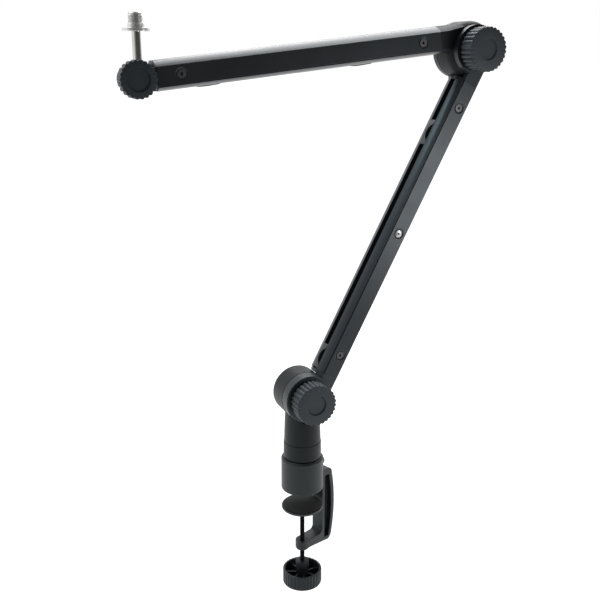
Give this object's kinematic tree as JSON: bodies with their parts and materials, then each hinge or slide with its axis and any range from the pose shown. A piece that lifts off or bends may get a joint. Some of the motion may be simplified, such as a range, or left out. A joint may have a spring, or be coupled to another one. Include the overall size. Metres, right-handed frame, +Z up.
{
  "type": "microphone boom arm",
  "caption": "Desk-clamped microphone boom arm with channelled lower and upper arms, knob-locked friction hinges, a swivel post in a C-clamp and a threaded stud for a microphone holder.",
  "frame": {"origin": "centre of the clamp's upper jaw face, where it rests on the desk, on the swivel post's axis", "axes": "+Z up along the post; +X in the plane of the arms, from the microphone end to the elbow; +Y away from the hinge knobs"},
  "size_m": [0.4777, 0.0725, 0.7319],
  "materials": {
    "arm_tube": "satin black coating, fine grain",
    "post": "satin charcoal coating",
    "fitting": "satin black moulding",
    "knob": "matt slate moulding",
    "clamp": "satin black powder coat",
    "pad_plate": "satin black coating",
    "soft_facing": "matt black",
    "nylon": "plain moulded",
    "cable_clip": "satin grey-black moulding",
    "bright_steel": "polished plated",
    "plain_steel": "turned, zinc plated",
    "black_steel": "black oxide",
    "brass_part": "plain turned"
  },
  "bodies": {
    "clamp": {"clamp_frame": "clamp", "jaw_pad": "soft_facing", "socket_liner": "nylon", "retaining_screw": "black_steel", "screw_bush": "black_steel"},
    "pad": {"pressure_pad": "pad_plate", "pad_rubber": "soft_facing"},
    "screw": {"clamp_screw": "black_steel", "clamp_knob": "knob"},
    "post": {"swivel_post": "post", "post_sleeve": "post", "spigot": "plain_steel", "base_bolt": "black_steel", "base_friction_washer": "nylon", "base_knob_washer": "black_steel"},
    "base_knob": {"base_knob": "knob", "base_knob_insert": "brass_part"},
    "lower_arm": {"lower_arm_tube": "arm_tube", "lower_arm_base_fitting": "fitting", "lower_arm_elbow_fork": "fitting", "lower_arm_screws": "black_steel", "lower_cable_clips": "cable_clip", "spring_anchor_pin": "plain_steel", "base_spring": "plain_steel", "elbow_spring": "plain_steel", "base_tension_link": "plain_steel", "elbow_tension_link": "plain_steel", "elbow_bolt": "black_steel", "elbow_friction_washers": "nylon", "elbow_knob_washer": "black_steel"},
    "elbow_knob": {"elbow_knob": "knob", "elbow_knob_insert": "brass_part"},
    "upper_arm": {"upper_arm_tube": "arm_tube", "upper_arm_hub": "fitting", "upper_arm_mic_fitting": "fitting", "upper_arm_screws": "black_steel", "upper_cable_clips": "cable_clip", "mic_bolt": "black_steel", "mic_friction_washer": "nylon", "mic_knob_washer": "black_steel"},
    "mic_knob": {"mic_knob": "knob", "mic_knob_insert": "brass_part"},
    "mic_head": {"mic_head": "fitting", "mic_stud": "bright_steel", "thread_adapter": "bright_steel"},
    "lock_ring": {"lock_ring": "bright_steel"}
  },
  "joints": [
    {"name": "pad_slide", "type": "slide", "parent": "clamp", "child": "pad", "axis": [0, 0, 1], "range_m": [-0.038, 0.0185]},
    {"name": "screw_spin", "type": "hinge", "parent": "pad", "child": "screw", "pos_m": [0, 0, -0.1], "axis": [0, 0, 1], "range_deg": [-13700, 6700]},
    {"name": "post_swivel", "type": "hinge", "parent": "clamp", "child": "post", "pos_m": [0, 0, 0.03], "axis": [0, 0, 1], "continuous": true},
    {"name": "base_hinge", "type": "hinge", "parent": "post", "child": "lower_arm", "pos_m": [0, 0, 0.1321], "axis": [0, 1, 0], "range_deg": [-52, 30]},
    {"name": "base_knob_turn", "type": "hinge", "parent": "post", "child": "base_knob", "pos_m": [0, 0, 0.1321], "axis": [0, 1, 0], "range_deg": [-180, 180]},
    {"name": "elbow_hinge", "type": "hinge", "parent": "lower_arm", "child": "upper_arm", "pos_m": [0.22606, 0, 0.5544], "axis": [0, 1, 0], "range_deg": [-43, 124]},
    {"name": "elbow_knob_turn", "type": "hinge", "parent": "lower_arm", "child": "elbow_knob", "pos_m": [0.22606, 0, 0.5544], "axis": [0, 1, 0], "range_deg": [-180, 180]},
    {"name": "mic_tilt", "type": "hinge", "parent": "upper_arm", "child": "mic_head", "pos_m": [-0.19756, 0, 0.52293], "axis": [0, 1, 0], "range_deg": [-170, 20]},
    {"name": "mic_knob_turn", "type": "hinge", "parent": "upper_arm", "child": "mic_knob", "pos_m": [-0.19756, 0, 0.52293], "axis": [0, 1, 0], "range_deg": [-180, 180]},
    {"name": "lock_ring_spin", "type": "hinge", "parent": "mic_head", "child": "lock_ring", "pos_m": [-0.19256, -0.0052, 0.57263], "axis": [0, 0, 1], "continuous": true}
  ],
  "couplings": [
    {"joint": "screw_spin", "follows": "pad_slide", "rad_per_m": 6283.2}
  ]
}
